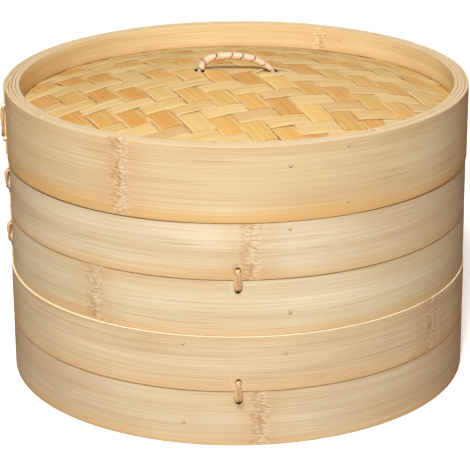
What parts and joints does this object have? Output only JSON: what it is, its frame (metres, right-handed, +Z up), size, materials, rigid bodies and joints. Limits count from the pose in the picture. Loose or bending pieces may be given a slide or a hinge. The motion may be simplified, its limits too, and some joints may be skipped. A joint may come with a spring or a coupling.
{
  "type": "bamboo steamer basket",
  "caption": "Round stacking bamboo steamer: slatted tiers inside wound hoops and a lid with a domed twill weave and a small cane handle, for steaming food over a pot.",
  "frame": {"origin": "on the round axis at the bottom rim, in the mouth of the socket under the lower tier", "axes": "+Z up along the axis, -Y towards the front, the handle spans X"},
  "size_m": [0.252, 0.2514, 0.1738],
  "materials": {
    "bamboo_band": "smooth, satin",
    "bamboo_inner": "smooth, matt",
    "bamboo_split": "split, matt",
    "bamboo_weave": "split, satin",
    "bamboo_leaf": "dry leaf, matt",
    "bamboo_peg": "cut, matt",
    "rattan": "glossy cane skin"
  },
  "bodies": {
    "lower_tier": {"lower_bottom_band": "bamboo_band", "lower_top_band": "bamboo_band", "lower_drum": "bamboo_inner", "lower_floor_ring": "bamboo_inner", "lower_hold_down_ring": "bamboo_inner", "lower_cross_bar_front": "bamboo_split", "lower_cross_bar_back": "bamboo_split", "lower_slat_1": "bamboo_split", "lower_slat_2": "bamboo_split", "lower_slat_3": "bamboo_split", "lower_slat_4": "bamboo_split", "lower_slat_5": "bamboo_split", "lower_slat_6": "bamboo_split", "lower_slat_7": "bamboo_split", "lower_slat_8": "bamboo_split", "lower_slat_9": "bamboo_split", "lower_pegs": "bamboo_peg", "lower_rattan_stitches": "rattan"},
    "upper_tier": {"upper_bottom_band": "bamboo_band", "upper_top_band": "bamboo_band", "upper_drum": "bamboo_inner", "upper_floor_ring": "bamboo_inner", "upper_hold_down_ring": "bamboo_inner", "upper_cross_bar_front": "bamboo_split", "upper_cross_bar_back": "bamboo_split", "upper_slat_1": "bamboo_split", "upper_slat_2": "bamboo_split", "upper_slat_3": "bamboo_split", "upper_slat_4": "bamboo_split", "upper_slat_5": "bamboo_split", "upper_slat_6": "bamboo_split", "upper_slat_7": "bamboo_split", "upper_slat_8": "bamboo_split", "upper_slat_9": "bamboo_split", "upper_pegs": "bamboo_peg", "upper_rattan_stitches": "rattan"},
    "lid": {"lid_outer_hoop": "bamboo_band", "lid_upper_inner_hoop": "bamboo_inner", "lid_lower_inner_hoop": "bamboo_inner", "lid_woven_dome": "bamboo_weave", "lid_lining": "bamboo_leaf", "lid_bow_left": "bamboo_split", "lid_bow_right": "bamboo_split", "lid_handle_stick": "bamboo_split", "lid_pegs": "bamboo_peg", "lid_rattan_stitch": "rattan"},
    "handle": {"handle_core": "rattan", "handle_wrap": "rattan"}
  },
  "joints": [
    {"name": "upper_tier_lift", "type": "slide", "parent": "lower_tier", "child": "upper_tier", "axis": [0, 0, 1], "range_m": [0, 0.06]},
    {"name": "lid_lift", "type": "slide", "parent": "upper_tier", "child": "lid", "axis": [0, 0, 1], "range_m": [0, 0.06]},
    {"name": "handle_tilt", "type": "hinge", "parent": "lid", "child": "handle", "pos_m": [0, 0, 0.1545], "axis": [1, 0, 0], "range_deg": [-8, 8]}
  ]
}
